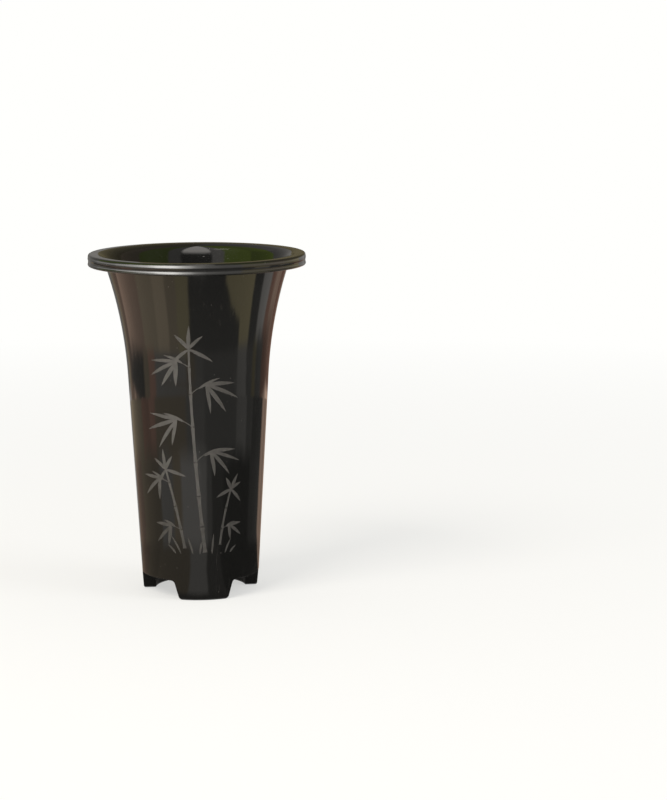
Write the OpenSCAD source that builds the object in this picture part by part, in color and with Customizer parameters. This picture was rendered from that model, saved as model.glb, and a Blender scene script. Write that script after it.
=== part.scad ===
// Tall flared flower pot with a castellated foot ring and a lift-out perforated drainage dome.
// Origin at the centre of the foot plane, +Z up, one foot facing -Y.

/* [Pot wall] */
// Overall height from the foot plane to the top of the rim
pot_h = 236; // [210:1:260]
// Diameter across the foot ring
base_d = 80; // [74:1:84]
// Diameter of the tube where the flare begins
neck_d = 97.4; // [94:0.2:102]
// Height above the foot plane where the flare begins
neck_h = 152; // [130:1:170]
// Wall thickness
wall = 1.8; // [1.4:0.1:2.4]

/* [Rim] */
// Outside diameter of the rim
rim_d = 150; // [140:1:164]
// Width of the flat flange at the rim, from the mouth's curve to the outer edge
rim_flange = 5.6; // [4.6:0.1:7]
// Height of the turned-down lip
lip_h = 8; // [6:0.5:12]
// Rounding of the outer top edge of the lip
lip_round = 2.25; // [1:0.25:3.5]
// Depth of the hollow that runs round the outside of the lip
lip_hollow = 0.3; // [0.2:0.05:0.6]
// Fillet between the flare and the underside of the rim
rim_fillet = 6; // [4:0.5:8]
// Small fillet inside the lip, under the rim
lip_fillet = 1; // [0.5:0.25:2]

/* [Foot ring] */
// Number of feet round the base
feet = 3; // [3:1:3]
// Share of the base circle that the feet take, in degrees for each foot, at half its height
foot_arc = 56; // [46:1:62]
// Height of the arches between the feet
foot_h = 13; // [10:0.5:15]
// Lean of the sides of the feet from upright, in degrees
step_lean = 16; // [8:1:22]
// Rounding at the top corners of the arches
arch_round = 3; // [1:0.25:3.5]
// Rounding at the bottom corners of the feet
foot_round = 3; // [1:0.25:3.5]
// Rounding of the outer bottom edge of the feet
base_round = 1; // [0.5:0.1:1.5]
// Thickness of the floor of the ring and of its steps
floor_t = 1.8; // [1.4:0.1:2.4]
// Width of the ring seen from below, from its outer edge to its inner edge
ring_w = 8.6; // [8.2:0.1:9.4]

/* [Drain slots] */
// Width of each drain slot in the ring
slot_w = 3.2; // [2.4:0.1:3.4]
// Length of each drain slot along the ring, in degrees, without its round ends
slot_arc = 18; // [12:1:24]
// Strip of floor left between the slots and the wall
slot_margin = 0.4; // [0.2:0.1:0.8]

/* [Drainage dome] */
// Height of the underside of the dome above the foot plane
dome_h = 30.5; // [27:0.5:34]
// Thickness of the dome
dome_t = 1.6; // [1.2:0.1:2]
// Thickness of the skirt segments that close the feet on their inner side
skirt_t = 1.4; // [1:0.1:1.6]
// Reach of the dome's flange over the floor of the ring
flange_w = 2.9; // [2.2:0.1:3.2]
// Running gap between the dome and the pot
clearance = 0.3; // [0.2:0.05:0.4]

/* [Dome holes] */
// Long holes in the outer row
long_holes = 18; // [12:1:20]
// Width of a long hole
long_hole_w = 4.4; // [3:0.1:5]
// Inner end of the long holes as a share of the dome's inner radius
long_in_share = 0.7; // [0.68:0.005:0.72]
// Outer end of the long holes as a share of the dome's inner radius
long_out_share = 0.94; // [0.92:0.005:0.95]
// Round holes in the middle row
mid_holes = 12; // [8:1:14]
// Diameter of the holes in the middle row
mid_hole_d = 5; // [3:0.1:5.4]
// Radius of the middle row as a share of the dome's inner radius
mid_row_share = 0.535; // [0.5:0.005:0.56]
// Round holes in the inner row
inner_holes = 5; // [4:1:6]
// Diameter of the holes in the inner row
inner_hole_d = 3.8; // [2.5:0.1:4.4]
// Radius of the inner row as a share of the dome's inner radius
inner_row_share = 0.268; // [0.25:0.005:0.29]
// Diameter of the moulding disc at the middle of the underside
disc_d = 8; // [6:0.5:9]
// Height of the moulding disc
disc_h = 0.5; // [0.3:0.1:0.8]
// Diameter of the gate mark on the disc
gate_d = 1.8; // [1:0.2:3]
// Height of the gate mark
gate_h = 0.5; // [0.3:0.1:0.8]

/* [Hidden] */
$fn = 180;
overrun = 1;

// The corner circles of the arches reach this far over the lines they meet, so that they cross them cleanly
tangent_lap = 0.001;

base_r = base_d / 2;
neck_r = neck_d / 2;
rim_r = rim_d / 2;

// Lean of the straight tube, from the foot ring to the neck
lean = atan((neck_r - base_r) / neck_h);

// How far the flare swings out from the line of the tube, and the fillet that it leaves room for
swing = (rim_r - rim_flange - neck_r) * cos(lean) - (pot_h - wall - rim_fillet - neck_h) * sin(lean);
fillet_room_share = 0.6;
fillet = min(rim_fillet, fillet_room_share * swing);

// Centre of the fillet under the rim
fillet_cr = rim_r - rim_flange;
fillet_cz = pot_h - wall - fillet;

// The long curve of the flare: it starts tangent to the tube at the neck and runs into the fillet
run_r = fillet_cr - neck_r;
run_z = fillet_cz - neck_h;
flare_side = run_r * cos(lean) - run_z * sin(lean) - fillet;
flare_r = (run_r * run_r + run_z * run_z - fillet * fillet) / (2 * flare_side);
flare_cr = neck_r + flare_r * cos(lean);
flare_cz = neck_h - flare_r * sin(lean);
flare_end = asin((fillet_cz - flare_cz) / (flare_r - fillet));

// Radius and height of the tube's surface, moved inwards by inset
function tube_r(z, inset) = base_r + z * tan(lean) - inset / cos(lean);
function flare_point(a, inset) = [
    flare_cr - (flare_r + inset) * cos(a),
    flare_cz + (flare_r + inset) * sin(a)
];

// Hollow round the lip: an arc over most of the face between its round edges
lip_edge_r = wall / 2;
lip_face = lip_h - lip_round - lip_edge_r;
hollow_share = 0.9;
hollow_half = hollow_share * lip_face / 2;
hollow_r = (hollow_half * hollow_half + lip_hollow * lip_hollow) / (2 * lip_hollow);
hollow_z = pot_h - lip_round - lip_face / 2;

// Ring and seat
arch_arc = 360 / feet - foot_arc;
ring_in_r = base_r - ring_w;
seat_z = foot_h + floor_t;
pocket_in_r = ring_in_r + skirt_t + clearance;
slot_mid_r = tube_r(floor_t, wall) - slot_margin - slot_w / 2;

// Dome: a spherical shell through the inner edge of the ring and the top of the dome
cap_rise = dome_h - seat_z;
cap_r = (ring_in_r * ring_in_r + cap_rise * cap_rise) / (2 * cap_rise);
cap_cz = dome_h - cap_r;
flange_r = ring_in_r + flange_w;

// Places of the rows of holes, measured from the axis
long_hole_out = ring_in_r * long_out_share;
long_hole_in = ring_in_r * long_in_share;
mid_row_r = ring_in_r * mid_row_share;
inner_row_r = ring_in_r * inner_row_share;

// Outline of the tube, the flare and the fillet under the rim from height z0 up, moved inwards by inset.
// The two curves stand as steps, which outside_curves() cuts to shape.
function wall_points(z0, inset) = let (
    neck = flare_point(lean, inset),
    top = flare_point(flare_end, inset)
) [
    [0, z0],
    [tube_r(z0, inset), z0],
    neck,
    [top[0], neck[1]],
    top,
    [fillet_cr, top[1]],
    [fillet_cr, fillet_cz + fillet + inset]
];

module outside_curves(inset) {
    neck = flare_point(lean, inset);
    top = flare_point(flare_end, inset);
    intersection() {
        translate([flare_cr, flare_cz]) circle(r = flare_r + inset, $fn = 1440);
        translate([0, neck[1]]) square([top[0], top[1] - neck[1]]);
    }
    intersection() {
        translate([fillet_cr, fillet_cz]) circle(r = fillet + inset);
        translate([0, top[1]]) square([fillet_cr, pot_h - top[1]]);
    }
}

// Section of the solid pot, with a flat flange and a turned-down lip at the rim
module outer_area() {
    lip_in_r = rim_r - wall;
    under_z = pot_h - wall;
    base_cr = tube_r(base_round, base_round);
    difference() {
        polygon(concat(wall_points(0, 0), [
            [lip_in_r - lip_fillet, under_z],
            [lip_in_r, under_z - lip_fillet],
            [lip_in_r, pot_h - lip_h],
            [rim_r, pot_h - lip_h],
            [rim_r, pot_h],
            [0, pot_h]
        ]));
        outside_curves(0);
        translate([lip_in_r - lip_fillet, under_z - lip_fillet]) circle(r = lip_fillet);
        translate([rim_r - lip_round, pot_h - lip_round]) difference() {
            square(lip_round + overrun);
            circle(r = lip_round);
        }
        translate([rim_r - lip_hollow + hollow_r, hollow_z]) circle(r = hollow_r);
        translate([rim_r - lip_edge_r, pot_h - lip_h + lip_edge_r]) difference() {
            translate([-lip_edge_r - overrun, -lip_edge_r - overrun])
                square([wall + 2 * overrun, lip_edge_r + overrun]);
            circle(r = lip_edge_r);
        }
        translate([base_cr, base_round]) difference() {
            polygon([
                [0, -base_round - overrun],
                [base_round + overrun, -base_round - overrun],
                [base_round + overrun, -base_round * sin(lean)],
                [base_round * cos(lean), -base_round * sin(lean)],
                [0, 0]
            ]);
            circle(r = base_round);
        }
    }
}

// Half of an arch opening, drawn along the ring (x) and upwards (y), grown by g on all sides.
// x = 0 is the side of the foot at half its height, and the opening lies at x > 0.
module half_arch(g) {
    corner = arch_round + g;
    cx = (foot_h / 2 - arch_round) * tan(step_lean) + arch_round / cos(step_lean);
    cy = foot_h - arch_round;
    on_side = [cx - corner * cos(step_lean), cy + corner * sin(step_lean)];
    foot_cx = (foot_round - foot_h / 2) * tan(step_lean) - foot_round / cos(step_lean);
    side_x = -g / cos(step_lean) - (foot_h / 2 + overrun) * tan(step_lean);
    top_x = -g / cos(step_lean) + (foot_h / 2 + g) * tan(step_lean);
    foot_corner = [
        [foot_cx, -overrun],
        [foot_cx, foot_round],
        [foot_cx + foot_round * cos(step_lean), foot_round * (1 - sin(step_lean))]
    ];
    difference() {
        polygon(concat(
            g == 0 ? foot_corner : [[side_x, -overrun]],
            [[top_x, cy + corner], [base_d, cy + corner], [base_d, -overrun]]
        ));
        difference() {
            polygon([
                on_side,
                [top_x - corner, on_side[1]],
                [top_x - corner, cy + corner + overrun],
                [cx, cy + corner + overrun],
                [cx, cy + corner]
            ]);
            translate([cx, cy]) circle(r = corner + tangent_lap);
        }
        if (g == 0) translate([foot_cx, foot_round]) circle(r = foot_round + tangent_lap);
    }
}

// One arch opening, grown by g, on the -Y side: the wedge between two leaning foot sides
module arch_space(g) {
    intersection() {
        rotate([0, 0, -arch_arc / 2]) rotate([90, 0, 0]) linear_extrude(base_d) half_arch(g);
        rotate([0, 0, arch_arc / 2]) mirror([1, 0, 0]) rotate([90, 0, 0])
            linear_extrude(base_d) half_arch(g);
    }
}

module arch_spaces(g) {
    for (k = [0:feet - 1]) rotate([0, 0, (k + 0.5) * 360 / feet]) arch_space(g);
}

// A drain slot with round ends, on the -Y side, cut through every floor level
module drain_slot() {
    depth = seat_z + 2 * overrun;
    reach = base_r * tan(slot_arc / 2);
    translate([0, 0, -overrun]) {
        intersection() {
            difference() {
                cylinder(h = depth, r = slot_mid_r + slot_w / 2);
                translate([0, 0, -overrun])
                    cylinder(h = depth + 2 * overrun, r = slot_mid_r - slot_w / 2);
            }
            linear_extrude(depth) polygon([[0, 0], [-reach, -base_r], [reach, -base_r]]);
        }
        for (side = [-1, 1])
            rotate([0, 0, side * slot_arc / 2])
                translate([0, -slot_mid_r])
                    cylinder(h = depth, d = slot_w, $fn = 48);
    }
}

// Hollow of the pot above the floor, and the pockets inside the three feet
module hollow() {
    rotate_extrude() difference() {
        polygon(concat(wall_points(seat_z, wall), [[0, pot_h]]));
        outside_curves(wall);
    }
    difference() {
        union() {
            rotate_extrude() polygon([
                [0, floor_t],
                [tube_r(floor_t, wall), floor_t],
                [tube_r(seat_z + overrun, wall), seat_z + overrun],
                [0, seat_z + overrun]
            ]);
            translate([0, 0, -overrun]) cylinder(h = floor_t + 2 * overrun, r = pocket_in_r);
        }
        arch_spaces(floor_t);
    }
    translate([0, 0, -overrun]) cylinder(h = seat_z + 2 * overrun, r = ring_in_r);
}

module pot_shell() {
    color("#1b1b1a") difference() {
        rotate_extrude() outer_area();
        hollow();
        arch_spaces(0);
        for (k = [0:2 * feet - 1]) rotate([0, 0, k * 180 / feet]) drain_slot();
    }
}

// Section of the dome: spherical cap and flat flange
module dome_area() {
    difference() {
        intersection() {
            translate([0, cap_cz]) circle(r = cap_r + dome_t, $fn = 360);
            translate([0, seat_z]) square([flange_r, cap_r]);
        }
        translate([0, cap_cz]) circle(r = cap_r, $fn = 360);
    }
    translate([ring_in_r, seat_z]) square([flange_w, dome_t]);
}

// Skirt segments that hang into the feet and stop just above the foot plane
module skirt() {
    difference() {
        translate([0, 0, clearance]) difference() {
            cylinder(h = seat_z - clearance + dome_t / 2, r = ring_in_r + skirt_t);
            translate([0, 0, -overrun]) cylinder(h = seat_z + 2 * overrun, r = ring_in_r);
        }
        arch_spaces(floor_t + clearance);
    }
}

module long_hole() {
    half = long_hole_w / 2;
    translate([0, 0, seat_z + overrun]) {
        for (y = [long_hole_in + half, long_hole_out - half])
            translate([0, -y]) cylinder(h = dome_h, d = long_hole_w, $fn = 48);
        translate([-half, half - long_hole_out])
            cube([long_hole_w, long_hole_out - long_hole_in - long_hole_w, dome_h]);
    }
}

module hole_row(count, row_r, d) {
    for (k = [0:count - 1])
        rotate([0, 0, (k + 0.5) * 360 / count])
            translate([0, -row_r, seat_z])
                cylinder(h = dome_h, d = d, $fn = 48);
}

module drainage_dome() {
    color("#232322") {
        difference() {
            union() {
                rotate_extrude() dome_area();
                skirt();
            }
            for (k = [0:long_holes - 1]) rotate([0, 0, k * 360 / long_holes]) long_hole();
            hole_row(mid_holes, mid_row_r, mid_hole_d);
            hole_row(inner_holes, inner_row_r, inner_hole_d);
        }
        translate([0, 0, dome_h - disc_h]) cylinder(h = disc_h + dome_t / 2, d = disc_d);
        translate([0, 0, dome_h - disc_h - gate_h]) cylinder(h = gate_h + disc_h, d = gate_d);
    }
}

pot_shell();
drainage_dome();
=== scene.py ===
"""Looks for a tall flared flower pot with a lift-out drainage dome. Metres, +Z up, front foot towards -Y."""

import math
import random

import bpy
from mathutils import Matrix, Vector


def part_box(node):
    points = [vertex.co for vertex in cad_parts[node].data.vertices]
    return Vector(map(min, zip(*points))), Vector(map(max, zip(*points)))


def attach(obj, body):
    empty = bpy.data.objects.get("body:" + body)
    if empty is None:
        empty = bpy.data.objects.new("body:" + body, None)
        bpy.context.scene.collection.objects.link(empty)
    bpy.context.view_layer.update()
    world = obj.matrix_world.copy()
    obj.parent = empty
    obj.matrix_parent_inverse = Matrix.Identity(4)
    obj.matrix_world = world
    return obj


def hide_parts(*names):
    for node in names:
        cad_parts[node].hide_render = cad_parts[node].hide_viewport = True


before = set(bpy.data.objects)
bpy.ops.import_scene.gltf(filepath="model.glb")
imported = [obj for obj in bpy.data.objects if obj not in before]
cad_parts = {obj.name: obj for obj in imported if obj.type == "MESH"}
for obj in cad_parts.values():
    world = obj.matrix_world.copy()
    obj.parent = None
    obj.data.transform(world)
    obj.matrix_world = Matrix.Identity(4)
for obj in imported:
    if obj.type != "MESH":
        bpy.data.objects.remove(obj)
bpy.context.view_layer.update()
bpy.context.scene.view_settings.view_transform = "Standard"
MM = 0.001

# Sizes of the pot, in millimetres and degrees, as the solids have them
POT_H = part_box("pot_shell")[1].z / MM
RIM_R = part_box("pot_shell")[1].x / MM
BASE_R = 40.0
NECK_R = 48.7
NECK_H = 152.0
WALL = 1.8
RIM_FLANGE = 5.6
RIM_FILLET = 6.0
LIP_H = 8.0
LIP_FILLET = 1.0
FEET = 3
FOOT_ARC = 56.0
FOOT_H = 13.0
STEP_LEAN = math.radians(16.0)
ARCH_ROUND = 3.0
FOOT_ROUND = 3.0
FLOOR_T = 1.8
RING_IN_R = 31.4
POCKET_IN_R = 33.1
SLOT_W = 3.2
SLOT_ARC = 18.0
SLOT_MID_R = 36.3

# Top corner of the lip: a tight curve, then a slack one that turns the last degrees down to the lip's face
LIP_CORNER = 1.3
LIP_SLACK = 8.0
LIP_SLACK_TILT = 16.0
# Hollow round the lip: its depth, its share of the face's height, and the rounding of its two edges
LIP_HOLLOW = 0.3
HOLLOW_SHARE = 0.9
HOLLOW_EDGE = 0.5

# The long curve of the flare, tangent to the tube and to the fillet under the rim
LEAN = math.atan((NECK_R - BASE_R) / NECK_H)
FILLET_CR = RIM_R - RIM_FLANGE
FILLET_CZ = POT_H - WALL - RIM_FILLET
RUN_R = FILLET_CR - NECK_R
RUN_Z = FILLET_CZ - NECK_H
FLARE_R = (RUN_R ** 2 + RUN_Z ** 2 - RIM_FILLET ** 2) / (
    2 * (RUN_R * math.cos(LEAN) - RUN_Z * math.sin(LEAN) - RIM_FILLET))
FLARE_CR = NECK_R + FLARE_R * math.cos(LEAN)
FLARE_CZ = NECK_H - FLARE_R * math.sin(LEAN)
FLARE_END = math.asin((FILLET_CZ - FLARE_CZ) / (FLARE_R - RIM_FILLET))


# Camera, fitted to the pot's outline in the photograph

IMAGE_W = 667
FOCAL_PX = 2620.9
SENSOR_W = 36.0
CAMERA_DISTANCE = 1.8
CAMERA_HEIGHT = 0.4211
CAMERA_AZIMUTH = math.radians(-3.0)
CAMERA_YAW = math.radians(2.982)
CAMERA_PITCH = math.radians(9.110)
CAMERA_ROLL = math.radians(-0.229)
VIEW_NEAR = 0.05
VIEW_FAR = 50.0


def make_camera():
    data = bpy.data.cameras.new("camera")
    data.sensor_fit = "HORIZONTAL"
    data.sensor_width = SENSOR_W
    data.lens = FOCAL_PX * SENSOR_W / IMAGE_W
    data.clip_start = VIEW_NEAR
    data.clip_end = VIEW_FAR
    camera = bpy.data.objects.new("camera", data)
    bpy.context.scene.collection.objects.link(camera)
    place = Vector((
        CAMERA_DISTANCE * math.sin(CAMERA_AZIMUTH),
        -CAMERA_DISTANCE * math.cos(CAMERA_AZIMUTH),
        CAMERA_HEIGHT,
    ))
    turn = Matrix.Rotation(CAMERA_AZIMUTH - CAMERA_YAW, 4, "Z")
    tilt = Matrix.Rotation(math.pi / 2 - CAMERA_PITCH, 4, "X")
    roll = Matrix.Rotation(CAMERA_ROLL, 4, "Z")
    camera.matrix_world = Matrix.Translation(place) @ turn @ tilt @ roll
    bpy.context.scene.camera = camera


# Colours and nodes

def srgb(code):
    """Linear RGBA of an sRGB hex colour."""
    parts = [int(code[i:i + 2], 16) / 255 for i in (1, 3, 5)]
    return tuple(c / 12.92 if c <= 0.04045 else ((c + 0.055) / 1.055) ** 2.4 for c in parts) + (1.0,)


def grey(value):
    return (value, value, value, 1.0)


def add_node(tree, kind, settings=None, links=None):
    """Adds a node; settings are attributes or input values, links are input: output socket."""
    node = tree.nodes.new(kind)
    for name, value in (settings or {}).items():
        if isinstance(name, str) and hasattr(node, name):
            setattr(node, name, value)
        else:
            node.inputs[name].default_value = value
    for name, output in (links or {}).items():
        tree.links.new(output, node.inputs[name])
    return node


def new_material(name):
    material = bpy.data.materials.new(name)
    material.use_nodes = True
    tree = material.node_tree
    tree.nodes.clear()
    return material, tree


def set_material(piece, material):
    piece.data.materials.clear()
    piece.data.materials.append(material)


# Stage: pale floor, soft lamps and white backdrop

FLOOR_SIZE = 12.0
FLOOR_TONE = "#f8f7f4"
BACKDROP = "#fffffd"
# Distances from the pot over which the floor runs into the backdrop, and how white it is before them
FADE_OUT = (0.25, 1.3)
FADE_LEAST = 0.55
WORLD_TONE = "#fbfaf7"
WORLD_LIGHT = 0.6
# Each lamp is (name, place, width, height, power in watts, tone); all are aimed at the middle of the pot
LAMP_TARGET = (0, 0, 0.12)
LAMPS = [
    ("key_lamp", (-1.1, -1.1, 1.7), 1.1, 0.9, 26.0, "#fffaf2"),
    ("fill_lamp", (1.6, -0.8, 1.3), 0.9, 0.9, 9.0, "#f6faff"),
]


def make_floor():
    bpy.ops.object.select_all(action="DESELECT")
    bpy.ops.mesh.primitive_plane_add(size=FLOOR_SIZE, location=(0, 0, 0))
    floor = bpy.context.active_object
    floor.name = "floor"
    floor.data.materials.append(floor_material())


def seen_rays(tree):
    """1 for rays from the camera, a gloss reflection or clear material, and 0 for light on a surface."""
    path = add_node(tree, "ShaderNodeLightPath")
    seen = add_node(tree, "ShaderNodeMath", {"operation": "MAXIMUM"},
                    {0: path.outputs["Is Camera Ray"], 1: path.outputs["Is Glossy Ray"]})
    return add_node(tree, "ShaderNodeMath", {"operation": "MAXIMUM"},
                    {0: seen.outputs[0], 1: path.outputs["Is Transmission Ray"]}).outputs[0]


def floor_material():
    """Pale floor whose own shade and shadow show near the pot and fade out into the white backdrop."""
    material, tree = new_material("pale_studio_floor")
    place = add_node(tree, "ShaderNodeTexCoord")
    away = add_node(tree, "ShaderNodeVectorMath", {"operation": "LENGTH"}, {0: place.outputs["Object"]})
    fade = add_node(tree, "ShaderNodeMapRange",
                    {"From Min": FADE_OUT[0], "From Max": FADE_OUT[1], "To Min": FADE_LEAST, "To Max": 1.0},
                    {"Value": away.outputs["Value"]})
    share = add_node(tree, "ShaderNodeMath", {"operation": "MULTIPLY"},
                     {0: fade.outputs[0], 1: seen_rays(tree)})
    shade = add_node(tree, "ShaderNodeBsdfDiffuse", {"Color": srgb(FLOOR_TONE)})
    white = add_node(tree, "ShaderNodeEmission", {"Color": srgb(BACKDROP), "Strength": 1.0})
    mix = add_node(tree, "ShaderNodeMixShader", links={
        0: share.outputs[0], 1: shade.outputs[0], 2: white.outputs[0]})
    # Seen from below the floor is clear, so that the underside of the pot can be looked at
    side = add_node(tree, "ShaderNodeNewGeometry")
    clear = add_node(tree, "ShaderNodeBsdfTransparent")
    surface = add_node(tree, "ShaderNodeMixShader", links={
        0: side.outputs["Backfacing"], 1: mix.outputs[0], 2: clear.outputs[0]})
    add_node(tree, "ShaderNodeOutputMaterial", links={"Surface": surface.outputs[0]})
    return material


def make_lamp(name, place, width, height, power, tone):
    data = bpy.data.lights.new(name, "AREA")
    data.shape = "RECTANGLE"
    data.size = width
    data.size_y = height
    data.energy = power
    data.color = srgb(tone)[:3]
    lamp = bpy.data.objects.new(name, data)
    bpy.context.scene.collection.objects.link(lamp)
    aim = Vector(LAMP_TARGET) - Vector(place)
    lamp.matrix_world = Matrix.Translation(place) @ aim.to_track_quat("-Z", "Y").to_matrix().to_4x4()


def make_world():
    world = bpy.data.worlds.new("studio")
    world.use_nodes = True
    tree = world.node_tree
    tree.nodes.clear()
    light = add_node(tree, "ShaderNodeBackground", {"Color": srgb(WORLD_TONE), "Strength": WORLD_LIGHT})
    backdrop = add_node(tree, "ShaderNodeBackground", {"Color": srgb(BACKDROP), "Strength": 1.0})
    mix = add_node(tree, "ShaderNodeMixShader", links={
        0: seen_rays(tree), 1: light.outputs[0], 2: backdrop.outputs[0]})
    add_node(tree, "ShaderNodeOutputWorld", links={"Surface": mix.outputs[0]})
    bpy.context.scene.world = world


# Reflection screen

# A closed drum round the pot that only gloss sees. It carries soft tones as bands over the heading, in zones
# over the reach: the distance out along its floor plus the height up its wall. A low collar stands on its
# floor, so that the lower half of the pot mirrors other tones than the flare.
SCREEN_R = 1.3
SCREEN_H = 3.2
SCREEN_IN_R = 0.004
SCREEN_CORNERS = 96
SCREEN_LIFT = 0.001
COLLAR_IN_R = 0.20
COLLAR_OUT_R = 0.202
COLLAR_H = 0.100
BAND_EDGE = 1.2
STONE = "#fffaf3"
SAND = "#ffe8c5"
CLAY = "#ffd9bf"
MOSS = "#ffeeb9"
LIME = "#dcff5c"
RUST = "#ffc6ad"

# Each band is (heading in degrees where it starts, brightness, tone), clockwise seen from above, 0 in front.
# A list has 16 bands at most, because a colour ramp holds 32 stops.
UNDER_BANDS = [(-180, 0.10, STONE)]
BASE_BANDS = [
    (-180, 0.30, STONE), (-140, 0.27, CLAY), (-104, 0.30, SAND), (-76, 0.38, SAND), (-20, 0.60, STONE),
    (6, 0.14, STONE), (30, 0.03, STONE), (123, 0.50, CLAY), (133, 0.32, CLAY),
]
LOWER_BANDS = [
    (-180, 0.40, STONE), (-148, 0.36, CLAY), (-117, 0.42, SAND), (-88, 0.40, SAND), (-70, 0.62, STONE),
    (-46, 0.74, SAND), (-32, 0.98, STONE), (-2, 0.78, STONE), (8, 0.36, STONE), (16, 0.12, STONE),
    (36, 0.04, STONE), (88, 0.12, STONE), (121, 0.75, CLAY), (131, 0.45, CLAY),
]
WAIST_BANDS = [
    (-180, 0.30, STONE), (-150, 0.50, SAND), (-104, 0.60, RUST), (-86, 0.90, RUST), (-74, 0.55, SAND),
    (-22, 0.42, STONE), (6, 0.28, STONE), (56, 0.50, STONE), (76, 0.22, STONE), (90, 0.10, STONE),
    (121, 0.75, CLAY), (131, 0.45, CLAY),
]
UPPER_BANDS = [
    (-180, 0.60, STONE), (-150, 0.40, CLAY), (-133, 1.05, CLAY), (-112, 1.00, CLAY), (-92, 1.20, SAND),
    (-66, 1.50, SAND), (-47, 0.95, SAND), (-32, 1.05, MOSS), (-16, 0.16, STONE),
    (36, 1.10, MOSS), (79, 0.16, STONE), (95, 0.85, STONE), (112, 0.60, RUST), (123, 0.80, CLAY),
    (139, 1.10, CLAY), (157, 0.50, CLAY),
]
MIDDLE_BANDS = [
    (-180, 0.25, STONE), (-154, 0.42, SAND), (-143, 0.12, STONE), (-99, 0.60, SAND), (-88, 1.00, RUST),
    (-75, 0.60, STONE), (-22, 0.52, SAND), (-8, 0.40, STONE), (4, 0.30, STONE), (60, 0.62, STONE),
    (79, 0.24, STONE), (92, 0.36, MOSS), (100, 0.18, STONE), (117, 0.27, RUST),
]
FAR_BANDS = [
    (-180, 0.07, MOSS), (-166, 0.35, STONE), (-130, 0.60, STONE), (-96, 1.00, STONE), (-78, 1.40, STONE),
    (-46, 2.10, STONE), (-22, 1.50, STONE), (-8, 0.90, STONE), (2, 0.60, STONE), (44, 0.80, MOSS),
    (70, 0.80, SAND), (100, 0.70, MOSS), (130, 0.50, STONE), (150, 0.30, STONE), (166, 0.07, MOSS),
]
HIGH_BANDS = [
    (-180, 0.30, STONE), (-150, 0.30, STONE), (-128, 0.45, LIME), (-84, 0.75, LIME), (-42, 0.80, STONE),
    (-25, 0.08, STONE), (20, 0.42, STONE), (38, 0.34, LIME), (84, 0.30, SAND), (120, 0.18, MOSS),
]
TOP_BANDS = [
    (-180, 0.30, STONE), (-150, 0.40, STONE), (-128, 0.60, LIME), (-84, 0.80, LIME), (-42, 0.75, STONE),
    (-23, 3.60, STONE), (18, 0.42, STONE), (38, 0.34, LIME), (84, 0.30, SAND), (120, 0.20, MOSS),
]
# Each zone is (bands, measure it goes by, where it starts to show, where it is full). It lies over the zones
# before it, and the first lies over UNDER_BANDS.
ZONES = [
    (BASE_BANDS, "reach", 0.045, 0.06),
    (LOWER_BANDS, "reach", 0.14, 0.17),
    (WAIST_BANDS, "reach", 0.245, 0.265),
    (UPPER_BANDS, "row", 0.312, 0.318),
    (MIDDLE_BANDS, "row", 0.445, 0.465),
    (WAIST_BANDS, "row", 0.555, 0.575),
    (FAR_BANDS, "reach", 1.27, 1.30),
    (HIGH_BANDS, "over", 0.0, 0.08),
    (TOP_BANDS, "reach", 2.34, 2.42),
]
# At one height the pot's sides mirror places further out than its middle does. Beyond the collar the row
# measure takes this out: the share of the way that still counts, over the heading.
ROW_START = 0.30
ROW_SHARES = [(-140, 0.31), (-60, 0.79), (0, 1.0), (60, 0.79), (140, 0.31)]
# The pale patch of the upper zone, on the right, narrows outwards from its left side: the rows over which it
# narrows, by how many degrees, and the headings over which the slant comes in and goes out again
PATCH_ROWS = (0.335, 0.42)
PATCH_SLANT = 26.0
SLANT_IN = (0.0, 15.0)
SLANT_OUT = (60.0, 78.0)
# Waver of the bands' edges: how far, in degrees and in metres of reach, and over what size
WAVER_TURN = 5.0
WAVER_REACH = 0.03
WAVER_SIZE = 0.05

# The soft light that draws the bright lines on the lip: its share of full brightness over the heading. It
# stands between a level foot and a top edge that comes down at the sides, where the high zone starts too.
SOFT_LIGHT = 17.0
SOFT_TONE = "#fffdf8"
SOFT_HEADINGS = [
    (-150, 0.0), (-104, 0.12), (-74, 0.30), (-56, 0.52), (-42, 0.92), (-28, 0.92), (-15, 0.42), (-4, 0.14),
    (8, 0.06), (24, 0.03), (60, 0.03), (120, 0.03), (170, 0.0),
]
SOFT_FOOT = (0.16, 0.28)
SOFT_TOPS = [
    (-150, 0.26), (-100, 0.42), (-60, 0.66), (-30, 0.80), (30, 0.80), (60, 0.66), (100, 0.42), (150, 0.26),
]
SOFT_FADE = 0.08


def make_screen():
    bpy.ops.object.select_all(action="DESELECT")
    bpy.ops.mesh.primitive_circle_add(
        vertices=SCREEN_CORNERS, radius=SCREEN_IN_R, location=(0, 0, SCREEN_LIFT))
    screen = bpy.context.active_object
    screen.name = "reflection_screen"
    # Radius and height of each ring that is drawn out of the one before it
    rings = [
        (COLLAR_IN_R, 0.0), (COLLAR_IN_R, COLLAR_H), (COLLAR_OUT_R, COLLAR_H), (COLLAR_OUT_R, 0.0),
        (SCREEN_R, 0.0), (SCREEN_R, SCREEN_H), (SCREEN_IN_R, SCREEN_H),
    ]
    bpy.ops.object.mode_set(mode="EDIT")
    bpy.ops.mesh.select_all(action="SELECT")
    last_r, last_h = SCREEN_IN_R, 0.0
    for ring_r, ring_h in rings:
        bpy.ops.mesh.extrude_region_move(TRANSFORM_OT_translate={"value": (0, 0, ring_h - last_h)})
        bpy.ops.transform.resize(value=(ring_r / last_r, ring_r / last_r, 1.0), center_override=(0, 0, 0))
        last_r, last_h = ring_r, ring_h
    bpy.ops.object.mode_set(mode="OBJECT")
    screen.visible_camera = False
    screen.visible_diffuse = False
    screen.visible_shadow = False
    screen.visible_transmission = False
    screen.data.materials.append(screen_material())


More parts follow.
